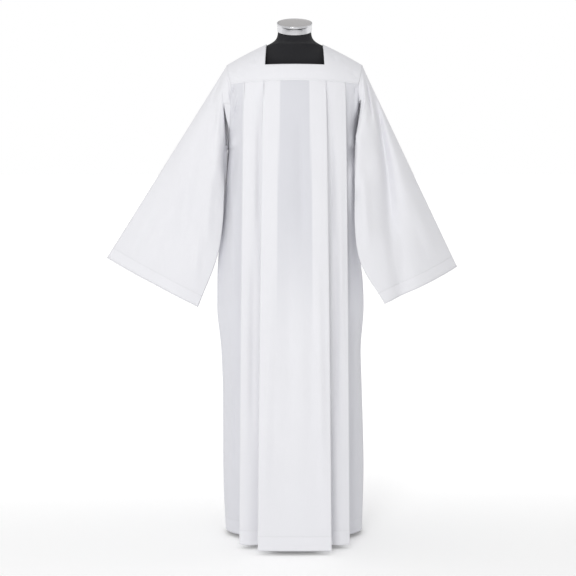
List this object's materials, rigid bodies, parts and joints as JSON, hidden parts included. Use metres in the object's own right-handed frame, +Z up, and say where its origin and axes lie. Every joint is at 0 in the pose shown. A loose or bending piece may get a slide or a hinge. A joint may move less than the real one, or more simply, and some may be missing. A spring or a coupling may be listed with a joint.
{
  "type": "alb robe on a dress form",
  "caption": "White pleated alb with a square yoke neck and wide open sleeves, worn by a black limbless dress form with a polished neck cap on a round foot.",
  "frame": {"origin": "middle of the round foot's underside, on the floor", "axes": "+Z up, the front of the robe faces -Y, +X to the right of someone who looks at the front"},
  "size_m": [1.0569, 0.421, 1.5478],
  "materials": {
    "alb_cloth": "plain-woven white polyester, matt, slightly translucent",
    "form_jersey": "black jersey stretched over a smooth torso",
    "cap_chrome": "polished rim and side with a satin grey top",
    "stand_coat": "satin black coating"
  },
  "bodies": {
    "root": {"front_panel": "alb_cloth", "back_panel": "alb_cloth", "front_yoke": "alb_cloth", "back_yoke": "alb_cloth", "left_sleeve": "alb_cloth", "right_sleeve": "alb_cloth", "form_torso": "form_jersey", "neck_cap": "cap_chrome", "stand_pole": "stand_coat", "stand_foot": "stand_coat"}
  },
  "joints": []
}
